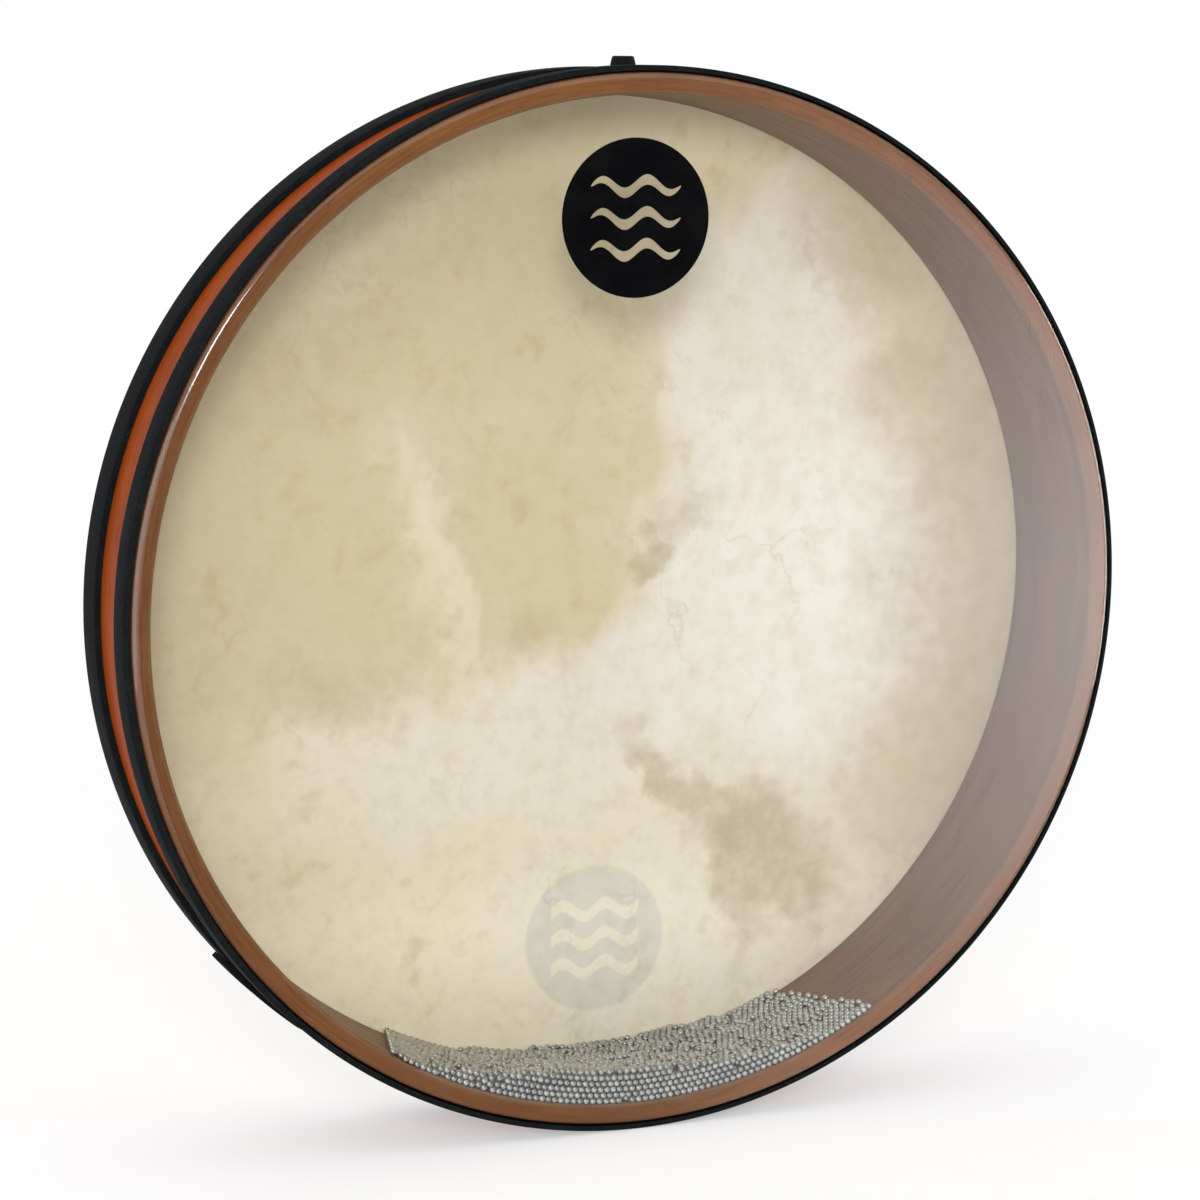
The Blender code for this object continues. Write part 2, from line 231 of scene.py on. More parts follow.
class Finish:
    """A material under construction: a Principled shader and the nodes that drive it."""

    def __init__(self, name, **values):
        self.material = bpy.data.materials.new(name)
        self.material.use_nodes = True
        self.tree = self.material.node_tree
        self.shader = self.tree.nodes["Principled BSDF"]
        for socket, value in values.items():
            self.shader.inputs[socket.replace("_", " ")].default_value = value

    def node(self, kind, inputs=(), **settings):
        """A node with these settings.

        inputs pairs a socket's name or number with a value or a socket.
        """
        made = self.tree.nodes.new(kind)
        for key, value in settings.items():
            setattr(made, key, value)
        for socket, value in dict(inputs).items():
            if isinstance(value, bpy.types.NodeSocket):
                self.tree.links.new(value, made.inputs[socket])
            else:
                made.inputs[socket].default_value = value
        return made

    def math(self, operation, a, b=0.0, c=0.0, clamp=False):
        inputs = {0: a, 1: b, 2: c}
        return self.node("ShaderNodeMath", inputs, operation=operation, use_clamp=clamp).outputs[0]

    def times(self, a, b, clamp=False):
        return self.math("MULTIPLY", a, b, clamp=clamp)

    def times_plus(self, a, b, c):
        return self.math("MULTIPLY_ADD", a, b, c)

    def minus(self, a, b):
        return self.math("SUBTRACT", a, b)

    def absolute(self, value):
        return self.math("ABSOLUTE", value)

    def noise(self, where, scale, detail=4.0, roughness=0.55):
        inputs = {"Vector": where, "Scale": scale, "Detail": detail, "Roughness": roughness}
        return self.node("ShaderNodeTexNoise", inputs).outputs["Fac"]

    def cells(self, where, scale, randomness=1.0, feature="F1"):
        """The distance to the nearest of scattered cells' middles, or to their edges."""
        inputs = {"Vector": where, "Scale": scale, "Randomness": randomness}
        return self.node("ShaderNodeTexVoronoi", inputs, feature=feature).outputs["Distance"]

    def span(self, value, low, high, to_low=0.0, to_high=1.0, smooth=True):
        """value from low to high becomes to_low to to_high, and stays there beyond them."""
        inputs = {0: value, 1: low, 2: high, 3: to_low, 4: to_high}
        curve = "SMOOTHSTEP" if smooth else "LINEAR"
        return self.node("ShaderNodeMapRange", inputs, interpolation_type=curve).outputs[0]

    def mix(self, share, a, b, blend="MIX"):
        inputs = {0: share, 6: a, 7: b}
        made = self.node("ShaderNodeMix", inputs, data_type="RGBA", blend_type=blend)
        return made.outputs[2]

    def place(self):
        return self.node("ShaderNodeTexCoord").outputs["Object"]

    def parts(self, vector):
        return self.node("ShaderNodeSeparateXYZ", {0: vector}).outputs

    def vector(self, x, y, z):
        return self.node("ShaderNodeCombineXYZ", {0: x, 1: y, 2: z}).outputs[0]

    def vectors(self, operation, *inputs):
        inputs = dict(enumerate(inputs))
        return self.node("ShaderNodeVectorMath", inputs, operation=operation).outputs[0]

    def swayed(self, where, scale, detail, reach):
        """where, carried up to half of reach each way by a noise over the place."""
        inputs = {"Vector": self.place(), "Scale": scale, "Detail": detail}
        sway = self.node("ShaderNodeTexNoise", inputs).outputs["Color"]
        sway = self.vectors("SUBTRACT", sway, (0.5, 0.5, 0.5))
        return self.vectors("MULTIPLY_ADD", sway, (reach, reach, reach), where)

    def from_axis(self, where):
        """How far right of the drum's axis and how far above it a place is."""
        x, _, z = self.parts(where)
        return self.minus(x, AXIS.x), self.minus(z, AXIS.z)

    def length(self, a, b):
        return self.math("SQRT", self.times_plus(a, a, self.times(b, b)))

    def round_the_drum(self):
        """The place as (arc length, y, radius), with the arc's jump at the scarf."""
        turn = math.radians(SCARF_ANGLE - 180.0)
        inputs = {"Vector": self.place(), "Center": AXIS, "Axis": (0, 1, 0), "Angle": turn}
        turned = self.node("ShaderNodeVectorRotate", inputs, rotation_type="AXIS_ANGLE").outputs[0]
        x, z = self.from_axis(turned)
        arc_length = self.times(self.math("ARCTAN2", z, x), SHELL_OUTER)
        return arc_length, self.parts(turned)[1], self.length(x, z)

    def bump(self, height, distance, strength=1.0, under=None):
        inputs = {"Height": height, "Distance": distance, "Strength": strength}
        if under is not None:
            inputs["Normal"] = under
        return self.node("ShaderNodeBump", inputs).outputs[0]

    def surface(self, shader):
        """Puts another shader in the Principled one's place."""
        self.tree.nodes.remove(self.shader)
        out = self.tree.nodes["Material Output"]
        self.tree.links.new(shader.outputs[0], out.inputs["Surface"])
        return self.material

    def drive(self, **sockets):
        for name, value in sockets.items():
            self.tree.links.new(value, self.shader.inputs[name.replace("_", " ")])
        return self.material


def colour(red, green, blue):
    """A colour given as screen values from 0 to 255, as linear light."""
    linear = []
    for value in (red / 255, green / 255, blue / 255):
        linear.append(value / 12.92 if value <= 0.04045 else ((value + 0.055) / 1.055) ** 2.4)
    return (*linear, 1.0)


STAIN_EDGE = 0.0285  # the outside is stained this far either way of the middle
WOOD_STAINED = (0.285, 0.048, 0.004, 1)
WOOD_RIM = (0.230, 0.098, 0.038, 1)
# painted shade: a darker copy of the rim's colour, for the rim's lower left
WOOD_RIM_SHADED = (0.165, 0.069, 0.027, 1)
WOOD_INSIDE = (0.225, 0.130, 0.074, 1)
WOOD_PORE = (0.035, 0.012, 0.005, 1)
GRAIN_LIGHT = (1.18, 1.20, 1.25, 1)
GRAIN_DARK = (0.66, 0.62, 0.60, 1)
GRAIN_CLOUD = (0.88, 0.86, 0.84, 1)
GRAIN_STRETCH = 0.045  # along the grain, over its breadth
SCARF_SLANT = 0.10


def wood_finish():
    """Bent ply, stained orange-brown and lacquered, its grain running round the drum, with painted
    shade on the rim's lower left.
    """
    wood = Finish("bent_wood", Roughness=0.38, Specular_IOR_Level=0.03)
    along, y, radius = wood.round_the_drum()
    place = wood.vector(along, y, radius)
    slow = wood.times(along, GRAIN_STRETCH)
    wander = wood.noise(place, 9.0, detail=2.0)
    shifted = wood.math("ADD", y, wood.times(wander, 0.012))
    grain_place = wood.vector(slow, y, radius)
    bent_place = wood.vector(slow, shifted, radius)
    fine = wood.noise(bent_place, 900.0, detail=5.0, roughness=0.6)
    broad = wood.noise(bent_place, 120.0, detail=3.0)
    pores = wood.noise(wood.vectors("MULTIPLY", grain_place, (2.2, 1.0, 1.0)), 2200.0, detail=2.0)
    cloud = wood.noise(place, 14.0, detail=3.0)

    bare = wood.span(wood.absolute(y), STAIN_EDGE, STAIN_EDGE + 0.0015, 1.0, 0.0)
    stained = wood.span(radius, SHELL_OUTER - 0.0012, SHELL_OUTER - 0.0004)
    stained = wood.times(stained, bare)
    inside = wood.span(radius, RIM_INNER + EDGE_INNER, RIM_INNER)
    tone = wood.mix(stained, WOOD_RIM, WOOD_STAINED)
    # Painted shade: the rim turns to a darker copy of its colour towards the lower left.
    x, _, z = wood.parts(wood.place())
    leftness = wood.times_plus(wood.minus(z, AXIS.z), 0.45, x)
    rim_shade = wood.span(leftness, 0.02, -0.14)
    rim_shade = wood.times(rim_shade, wood.minus(1.0, stained))
    tone = wood.mix(rim_shade, tone, WOOD_RIM_SHADED)
    tone = wood.mix(inside, tone, WOOD_INSIDE)
    tone = wood.mix(wood.span(broad, 0.32, 0.68), tone, GRAIN_LIGHT, blend="MULTIPLY")
    tone = wood.mix(wood.span(fine, 0.35, 0.75, 0.0, 0.75), tone, GRAIN_DARK, blend="MULTIPLY")
    tone = wood.mix(wood.span(cloud, 0.35, 0.7, 0.0, 0.8), tone, GRAIN_CLOUD, blend="MULTIPLY")
    tone = wood.mix(wood.span(pores, 0.60, 0.72, 0.0, 0.45), tone, WOOD_PORE)
    half_turn = math.pi * SHELL_OUTER
    to_scarf = wood.minus(half_turn, wood.absolute(along))
    to_scarf = wood.times(to_scarf, wood.math("SIGN", along))
    slanted = wood.times_plus(y, SCARF_SLANT, to_scarf)
    seam = wood.span(wood.absolute(slanted), 0.0002, 0.0006, 1.0, 0.0)
    seam = wood.times(seam, stained)
    tone = wood.mix(wood.times(seam, 0.8), tone, WOOD_PORE)
    ridge = wood.minus(fine, wood.times(pores, 0.6))
    ridge = wood.minus(ridge, wood.times(seam, 1.5))
    return wood.drive(
        Base_Color=tone,
        Roughness=wood.span(fine, 0.2, 0.8, 0.30, 0.50, smooth=False),
        Normal=wood.bump(ridge, 0.00006, 0.7),
    )


# Patches of the skin, from the drum's axis, as
# (x, z, half width, half height, turn, softness, strength).
PALE_CLOUDS = (
    (0.104, 0.0, 0.074, 0.105, 0.0, 0.32, 1.0),
    (0.086, 0.105, 0.052, 0.080, -8.0, 0.35, 0.85),
    (0.055, -0.035, 0.080, 0.036, 22.0, 0.35, 1.0),
    (0.0, -0.070, 0.080, 0.040, 14.0, 0.45, 0.8),
    (-0.080, -0.080, 0.060, 0.036, 12.0, 0.5, 0.62),
    (0.040, -0.150, 0.110, 0.070, 0.0, 0.5, 0.5),
    (-0.071, 0.010, 0.010, 0.052, 10.0, 0.7, 0.38),
    (-0.046, -0.035, 0.004, 0.040, 2.0, 0.8, 0.3),
)
CREAM_CLOUDS = (
    (-0.060, -0.140, 0.170, 0.092, -8.0, 0.35, 1.0),
    (0.060, -0.160, 0.120, 0.070, 0.0, 0.5, 0.8),
    (-0.075, 0.010, 0.014, 0.060, 10.0, 0.7, 0.6),
    (-0.120, 0.150, 0.040, 0.030, 40.0, 0.6, 0.35),
)
# Brown mottling; the patch at (0.196, 0.0) is painted shade along the skin's right edge, by the
# shell's wall.
BROWN_AND_SHADE_CLOUDS = (
    (0.030, 0.016, 0.013, 0.009, 30.0, 0.5, 0.9),
    (0.048, 0.034, 0.016, 0.010, 35.0, 0.6, 0.5),
    (0.088, -0.130, 0.040, 0.030, -38.0, 0.4, 0.95),
    (0.050, -0.092, 0.034, 0.010, -40.0, 0.6, 0.75),
    (-0.034, -0.022, 0.014, 0.014, 0.0, 0.6, 0.4),
    (0.158, 0.092, 0.026, 0.020, 8.0, 0.5, 0.62),
    (0.134, 0.155, 0.036, 0.024, -35.0, 0.5, 0.5),
    (-0.122, -0.045, 0.032, 0.014, 0.0, 0.6, 0.4),
    (-0.125, 0.135, 0.070, 0.034, 40.0, 0.6, 0.45),
    # painted shade along the right edge, by the shell's wall
    (0.196, 0.0, 0.046, 0.110, 0.0, 0.6, 0.75),
    (0.165, -0.1, 0.030, 0.050, 15.0, 0.6, 0.35),
)
SKIN_BEIGE = (0.660, 0.558, 0.360, 1)
SKIN_CREAM = (0.795, 0.710, 0.500, 1)
SKIN_PALE = (0.800, 0.750, 0.645, 1)
SKIN_BROWN = colour(178, 158, 122)
SKIN_OCHRE = colour(186, 160, 108)
SKIN_VEIN = colour(168, 148, 116)
SKIN_PAINTED_LIGHT = (1.16, 1.17, 1.20, 1.0)  # painted light: the skin is paler near its lowest and highest parts, against the shell's shade there
PAINTED_LIGHT_LOW = (-0.115, -0.16)  # between these heights from the axis
PAINTED_LIGHT_HIGH = (0.17, 0.205)
# painted shade of the badge on the skin's far side, where it blocks the light through the skin
BADGE_SHADOW_TINT = (0.85, 0.87, 0.92, 1.0)
BADGE_SHADOW_SOFT = 0.0012
WAVE_SOFT = 0.001


def cloud(skin, x, z, place):
    """A soft patch: strength in its middle, 0 beyond its outline."""
    cx, cz, half_width, half_height, turn, softness, strength = place
    c, s = math.cos(math.radians(turn)), math.sin(math.radians(turn))
    dx = skin.minus(x, cx)
    dz = skin.minus(z, cz)
    u = skin.times_plus(dx, c / half_width, skin.times(dz, s / half_width))
    v = skin.times_plus(dz, c / half_height, skin.times(dx, -s / half_height))
    return skin.span(skin.length(u, v), 1 + softness, 1 - softness, 0.0, strength)


def gathered(skin, x, z, places):
    """The strongest of several soft patches at each point."""
    total = None
    for place in places:
        one = cloud(skin, x, z, place)
        total = one if total is None else skin.math("MAXIMUM", total, one)
    return total


def badge_shadow_on_skin(skin, x, z):
    """Painted shade: 1 where the badge on the skin's far side blocks the light coming through the
    skin, 0 in its waves and beyond it.
    """
    low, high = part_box("rear_badge")
    middle = (low + high) / 2 - AXIS
    dx = skin.minus(x, middle.x)
    dz = skin.minus(z, middle.z)
    disc = skin.span(skin.length(dx, dz), BADGE_RADIUS + BADGE_SHADOW_SOFT, BADGE_RADIUS - BADGE_SHADOW_SOFT)
    swing = skin.math("SINE", skin.times(dx, 4 * math.pi / WAVE_LENGTH))
    level = skin.minus(dz, skin.times(swing, WAVE_HEIGHT))
    near = skin.absolute(skin.math("WRAP", level, WAVE_SPACING / 2, -WAVE_SPACING / 2))
    tall, wide = skin.absolute(dz), skin.absolute(dx)
    stroke = skin.span(near, WAVE_STROKE / 2, WAVE_STROKE / 2 + WAVE_SOFT, 1.0, 0.0)
    rows = skin.span(tall, 1.45 * WAVE_SPACING, 1.5 * WAVE_SPACING, 1.0, 0.0)
    ends = skin.span(wide, WAVE_LENGTH / 2, WAVE_LENGTH / 2 + WAVE_SOFT, 1.0, 0.0)
    wave = skin.times(stroke, skin.times(rows, ends))
    return skin.times(disc, skin.minus(1.0, wave))


def skin_finish():
    """Goat skin: cream with pale clouds, brown mottling, fine veins and hair pores; painted light
    near its top and bottom, painted shade at its right edge and where the far badge blocks the
    light through it.
    """
    skin = Finish("goat_skin", Roughness=0.55, Sheen_Weight=0.10, Sheen_Roughness=0.5)
    place = skin.place()
    moved = skin.swayed(place, 22.0, 5.0, 0.055)
    moved = skin.swayed(moved, 90.0, 4.0, 0.030)
    x, z = skin.from_axis(moved)
    pale = gathered(skin, x, z, PALE_CLOUDS)
    cream = gathered(skin, x, z, CREAM_CLOUDS)
    brown = gathered(skin, x, z, BROWN_AND_SHADE_CLOUDS)

    haze = skin.noise(place, 11.0, detail=6.0, roughness=0.6)
    squat = skin.vectors("MULTIPLY", place, (1.0, 1.0, 0.45))
    wisps = skin.noise(squat, 55.0, detail=6.0, roughness=0.62)
    mottle = skin.noise(place, 130.0, detail=5.0, roughness=0.6)
    pale = skin.math("ADD", pale, skin.span(haze, 0.3, 0.7, -0.18, 0.18), clamp=True)
    pale = skin.times(pale, skin.span(wisps, 0.25, 0.62, 0.72, 1.0), clamp=True)
    tone = skin.mix(cream, SKIN_BEIGE, SKIN_CREAM)
    tone = skin.mix(pale, tone, SKIN_PALE)
    # brown mottling, and painted shade at the skin's right edge
    spread = skin.times(brown, skin.span(mottle, 0.30, 0.62, 0.70, 1.0))
    tone = skin.mix(skin.times(spread, 0.75), tone, SKIN_BROWN)
    ochre = skin.span(skin.noise(place, 70.0, detail=4.0), 0.56, 0.74, 0.0, 0.35)
    ochre = skin.times(ochre, skin.times_plus(pale, -0.8, 1.0))
    tone = skin.mix(ochre, tone, SKIN_OCHRE)
    tone = skin.mix(skin.span(mottle, 0.42, 0.72, 0.0, 0.16), tone, SKIN_BROWN)

    veins = skin.cells(moved, 17.0, feature="DISTANCE_TO_EDGE")
    vein = skin.span(veins, 0.004, 0.030, 0.22, 0.0)
    vein = skin.times(vein, skin.span(haze, 0.45, 0.62, 0.0, 1.0))
    tone = skin.mix(vein, tone, SKIN_VEIN)
    pores = skin.cells(place, 620.0)
    pore = skin.span(pores, 0.06, 0.26, 1.0, 0.0)
    pore = skin.times(pore, skin.span(mottle, 0.40, 0.60))
    tone = skin.mix(skin.times(pore, 0.10), tone, SKIN_VEIN)
    px, pz = skin.from_axis(place)
    # painted light: paler near the skin's top and bottom edges, where the shell shades it
    painted_light = skin.math("MAXIMUM", skin.span(pz, *PAINTED_LIGHT_LOW), skin.span(pz, *PAINTED_LIGHT_HIGH))
    tone = skin.mix(painted_light, tone, SKIN_PAINTED_LIGHT, blend="MULTIPLY")
    # painted shade where the far badge blocks the light through the skin
    badge_shadow = badge_shadow_on_skin(skin, px, pz)
    tone = skin.mix(badge_shadow, tone, BADGE_SHADOW_TINT, blend="MULTIPLY")

    relief = skin.math("ADD", skin.times(wisps, 0.5), mottle)
    relief = skin.minus(relief, skin.times(pore, 0.25))
    return skin.drive(
        Base_Color=tone,
        Roughness=skin.span(mottle, 0.25, 0.75, 0.48, 0.66, smooth=False),
        Normal=skin.bump(relief, 0.00018, 0.55),
    )


FILM_GLOSS = 0.028  # the share of light that each face of the film throws straight back
FILM_CLEAR = (0.985, 0.987, 0.985, 1)
WET_LOSS = 0.85  # the glue takes this share of the gloss from the rim's lower left


def film_finish():
    """Clear film: what lies behind shows through, and the gloss lies over it."""
    film = Finish("clear_film")
    place = film.place()
    smear = film.noise(place, 26.0, detail=5.0, roughness=0.6)
    inputs = {"Color": (1, 1, 1, 1), "Roughness": film.span(smear, 0.3, 0.7, 0.05, 0.11)}
    gloss = film.node("ShaderNodeBsdfGlossy", inputs)
    clear = film.node("ShaderNodeBsdfTransparent", {"Color": FILM_CLEAR})
    facing = film.node("ShaderNodeLayerWeight", {"Blend": 0.5}).outputs["Facing"]
    share = film.times_plus(film.math("POWER", facing, 5.0), 1.0 - FILM_GLOSS, FILM_GLOSS)
    _, _, radius = film.round_the_drum()
    x, _, z = film.parts(place)
    glued = film.span(radius, RIM_INNER, RIM_INNER + 0.001)
    lower_left = film.span(film.times_plus(x, 0.6, z), 0.08, -0.02)
    wetted = film.times(glued, lower_left)
    share = film.times(share, film.times_plus(wetted, -WET_LOSS, 1.0))
    both = film.node("ShaderNodeMixShader", {0: share, 1: clear.outputs[0], 2: gloss.outputs[0]})
    return film.surface(both)


TRIM_BLACK = (0.0095, 0.0110, 0.0120, 1)
TRIM_GREY = (0.0200, 0.0215, 0.0215, 1)
TRIM_DEEP = (0.0050, 0.0055, 0.0060, 1)
RUBBER_BLACK = (0.0060, 0.0060, 0.0062, 1)
RUBBER_BLOOM = (0.0100, 0.0100, 0.0098, 1)
BADGE_BLACK = (0.0030, 0.0027, 0.0032, 1)
# painted sheen: the lighter tone of the black print
BADGE_PAINTED_SHEEN = (0.0048, 0.0045, 0.0050, 1)
BADGE_SPECK = colour(70, 68, 66)
STEEL_DARK = (0.47, 0.48, 0.46, 1)
STEEL_LIGHT = (0.71, 0.72, 0.69, 1)
STEEL_FILM = (0.36, 0.36, 0.34, 1)


def trim_finish():
    """Black leatherette: a fine pebbled grain, with faint grey clouds over it."""
    trim = Finish("black_trim", Roughness=0.62, Specular_IOR_Level=0.01)
    along, y, radius = trim.round_the_drum()
    place = trim.vector(along, y, radius)
    pebble = trim.cells(place, 780.0, randomness=0.9)
    dust = trim.noise(place, 60.0, detail=6.0, roughness=0.65)
    stretched = trim.vector(trim.times(along, 0.1), y, radius)
    streak = trim.noise(stretched, 420.0, detail=3.0)
    tone = trim.mix(trim.span(dust, 0.40, 0.75, 0.0, 0.6), TRIM_BLACK, TRIM_GREY)
    tone = trim.mix(trim.span(pebble, 0.30, 0.65, 0.0, 0.5), tone, TRIM_DEEP)
    relief = trim.times_plus(streak, 0.5, trim.minus(1.0, pebble))
    return trim.drive(
        Base_Color=tone,
        Roughness=trim.span(dust, 0.3, 0.7, 0.52, 0.74, smooth=False),
        Normal=trim.bump(relief, 0.00012, 0.6),
    )


def rubber_finish():
    rubber = Finish("black_rubber", Roughness=0.66, Specular_IOR_Level=0.08)
    place = rubber.place()
    bloom = rubber.noise(place, 240.0, detail=5.0)
    grain = rubber.noise(place, 1800.0, detail=3.0)
    tone = rubber.mix(rubber.span(bloom, 0.4, 0.7), RUBBER_BLACK, RUBBER_BLOOM)
    return rubber.drive(Base_Color=tone, Normal=rubber.bump(grain, 0.00004, 0.5))


def badge_finish():
    """Black print on a vinyl sticker, with a slightly uneven satin gloss and lighter patches of
    painted sheen.
    """
    badge = Finish("badge_print", Roughness=0.42, Specular_IOR_Level=0.02)
    place = badge.place()
    uneven = badge.noise(place, 70.0, detail=5.0)
    speck = badge.noise(place, 1400.0, detail=2.0)
    # painted sheen: lighter patches over the black print
    tone = badge.mix(badge.span(uneven, 0.35, 0.7), BADGE_BLACK, BADGE_PAINTED_SHEEN)
    tone = badge.mix(badge.span(speck, 0.66, 0.74, 0.0, 0.10), tone, BADGE_SPECK)
    return badge.drive(
        Base_Color=tone,
        Roughness=badge.span(uneven, 0.3, 0.7, 0.36, 0.50, smooth=False),
        Normal=badge.bump(uneven, 0.00005, 0.4),
    )


def steel_finish():
    """Polished steel shot. Each ball has a tone and a dullness of its own."""
    steel = Finish("steel_balls", Metallic=1.0, Roughness=0.24)
    island = steel.node("ShaderNodeNewGeometry").outputs["Random Per Island"]
    film = steel.noise(steel.place(), 900.0, detail=3.0)
    tone = steel.mix(island, STEEL_DARK, STEEL_LIGHT)
    tone = steel.mix(steel.span(film, 0.5, 0.8, 0.0, 0.2), tone, STEEL_FILM)
    dull = steel.times_plus(island, 0.15, 0.35)
    return steel.drive(Base_Color=tone, Roughness=dull)


# ---------- the pieces


def stands_for(obj, body, slot, *nodes):
    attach(obj, body)
    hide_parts(*nodes)
    return obj


def shell_outline(angle):
    """The shell's section, its outer corners rounded more than its inner ones."""
    o, i = EDGE_OUTER, EDGE_INNER
    lip = SHELL_OUTER + front_lip(angle)
    points = arc((lip - o, SHELL_FRONT + o), o, -90, 0)
    points += [(lip, y) for y in np.linspace(SHELL_FRONT + o, FRONT_LIP_END, 6)[1:]]
    behind = np.linspace(FRONT_LIP_END + 0.0005, SHELL_REAR - o, 10)[:-1]
    points += [(SHELL_OUTER, y) for y in behind]
    points += arc((SHELL_OUTER - o, SHELL_REAR - o), o, 0, 90)
    rear, front = SHELL_REAR - i, SHELL_FRONT + i
    points += arc((inner_wall(rear) + i, rear), i, 90, 180, 4)
    points += [(inner_wall(y), y) for y in np.linspace(rear, front, 12)[1:-1]]
    points += arc((inner_wall(front) + i, front), i, 180, 270, 4)
    return points


def evaluated_mesh(obj):
    bpy.context.view_layer.update()
    graph = bpy.context.evaluated_depsgraph_get()
    return bpy.data.meshes.new_from_object(obj.evaluated_get(graph))


def make_shell(finish):
    shell = swept("bent_shell", shell_outline, full_circle(RING_STEPS), finish)
    cutter_mesh = bpy.data.meshes.new("hole_cutter")
    bm = bmesh.new()
    size = {"radius1": HOLE_RADIUS, "radius2": HOLE_RADIUS, "depth": 0.04}
    bmesh.ops.create_cone(bm, cap_ends=True, segments=32, **size)
    bm.to_mesh(cutter_mesh)
    bm.free()
    cutter = linked("hole_cutter", cutter_mesh)
    cutter.location = at((SHELL_INNER + SHELL_OUTER) / 2, PLUG_ANGLE, 0.0)
    cut = shell.modifiers.new("Filler hole", "BOOLEAN")
    cut.object = cutter
    holed = evaluated_mesh(shell)
    shell.modifiers.clear()
    shell.data = holed
    bpy.data.objects.remove(cutter)
    shell.data.set_sharp_from_angle(angle=math.radians(SHARP))
    return stands_for(shell, "drum", "bent_wood", "frame_shell")


def head_outline(face, skirt_end, thickness, outward, rings, lip=0.0):
    """A head's section: from the axis over its face, down its skirt and back inside.

    outward is -1 or 1 in y.
    """
    bend = EDGE_OUTER + GAP + thickness
    outer = SHELL_OUTER + lip + GAP + thickness
    corner = (outer - bend, face - outward * bend)
    start = 90 * outward
    over = [(r, face) for r in np.linspace(0.0, corner[0], rings + 1)[:-1]]
    over += arc(corner, bend, start, 0, 8)
    under = arc(corner, bend - thickness, 0, start, 8)
    under += [(r, face - outward * thickness) for r in np.linspace(corner[0], 0.0, rings + 1)[1:]]
    end = [(outer, skirt_end), (outer - thickness, skirt_end)]
    return over + end + under


def make_film(finish):
    face = SHELL_FRONT - GAP / 2 - FILM

    def outline(angle):
        return head_outline(face, SKIRT_FRONT_END, FILM, -1, FILM_RINGS, lip=front_lip(angle))

    film = swept("clear_film", outline, full_circle(RING_STEPS), finish)
    return stands_for(film, "drum", "clear_film", "clear_head")


def make_skin(finish):
    """The skin, drawn tight but with the low unevenness of a hide."""
    face = SHELL_REAR + GAP / 2 + SKIN
    outline = head_outline(face, SKIRT_REAR_END, SKIN, 1, SKIN_RINGS)
    skin = swept("goat_skin", lambda _angle: outline, full_circle(SKIN_STEPS), finish)
    points = np.array([v.co for v in skin.data.vertices])
    x, z = points[:, 0] - AXIS.x, points[:, 2] - AXIS.z
    radius = np.hypot(x, z)
    free = np.clip((SHELL_INNER - radius) / 0.03, 0.0, 1.0)
    ripple = np.sin(31 * x + 1.3) * np.cos(27 * z - 0.4) + 0.6 * np.sin(73 * x - 49 * z + 2.0)
    ripple += 0.35 * np.cos(118 * z + 61 * x)
    points[:, 1] += SKIN_RELIEF * free * ripple
    skin.data.vertices.foreach_set("co", points.ravel())
    skin.data.update()
    return stands_for(skin, "drum", "goat_skin", "skin_head")


def band_outline(under, outer, low, high):
    """A band's section: its underside from its rear edge to its front one, then its outside."""
    e = TRIM_EDGE
    outside = arc((outer - e, low + e), e, -90, 0, 4) + arc((outer - e, high - e), e, 0, 90, 4)
    return under + outside


def hand_cut(angle, seed):
    """The band's small unevenness in width where it was cut by hand."""
    turn = math.radians(angle)
    waves = math.sin(3 * turn + seed) + 0.6 * math.sin(7 * turn + 2 * seed)
    return HAND_CUT * (waves + 0.4 * math.sin(17 * turn))


def make_front_trim(finish):
    low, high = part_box("front_trim")[0].y + FRONT_SETBACK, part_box("front_trim")[1].y

    def outline(angle):
        inner = SHELL_OUTER + front_lip(angle) + GAP + FILM + SNUG
        rear, foot = high + hand_cut(angle, 1.0), SKIRT_FRONT_END + FOOT_STEP
        under = [(BAND_FOOT, rear), (BAND_FOOT, foot), (inner, foot - FOOT_SLOPE), (inner, low)]
        return band_outline(under, TRIM_OUTER + BAND_PROUD, low, rear)

    start, end = BUTT_ANGLE - BUTT_HALF_GAP, BUTT_ANGLE - 360 + BUTT_HALF_GAP
    angles = np.linspace(start, end, RING_STEPS)
    trim = swept("front_band", outline, angles, finish, whole=False)
    return stands_for(trim, "drum", "black_trim", "front_trim")


def make_rear_trim(finish):
    """The band with its start under its lapped end, which rises onto it over a filled ramp."""
    low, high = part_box("rear_trim")[0].y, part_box("rear_trim")[1].y
    inner = SHELL_OUTER + GAP + SKIN + SNUG

    def outline(angle):
        inside, foot, outer = inner, BAND_FOOT, TRIM_OUTER
        rise = (LAP_START - 360 + LAP_RAMP - angle) / LAP_RAMP
        if angle < LAP_START - 360:
            inside = foot = TRIM_OUTER + SNUG
            outer = TRIM_OUTER + LAP_RISE
        elif rise > 0:
            outer += LAP_RISE * (3 * rise**2 - 2 * rise**3)
        front, step = low + hand_cut(angle, 2.0), SKIRT_REAR_END - FOOT_STEP
        under = [(inside, high), (inside, step + FOOT_SLOPE), (foot, step), (foot, front)]
        return band_outline(under, outer, front, high)

    pared = np.linspace(LAP_START - 0.8, LAP_FREE_END, 16)
    single = np.linspace(LAP_FREE_END - 0.3, LAP_START - 360, 470)
    lapped = np.linspace(LAP_START - 360, LAP_FREE_END - 360, 18)[1:]
    angles = np.concatenate([pared, single, lapped])
    trim = swept("rear_band", outline, angles, finish, whole=False)
    return stands_for(trim, "drum", "black_trim", "rear_trim")


def turned_piece(name, outline, finish, steps=72):
    """An outline in (radius, height) turned about the local Z axis."""
    points, faces = [], []
    for i in range(steps):
        turn = 2 * math.pi * i / steps
        points += [(r * math.cos(turn), r * math.sin(turn), h) for r, h in outline]
    size = len(outline)
    for i in range(steps):
        near, far = i * size, (i + 1) % steps * size
        faces += [(near + j, near + j + 1, far + j + 1, far + j) for j in range(size - 1)]
    return clean(mesh_object(name, points, faces, finish))


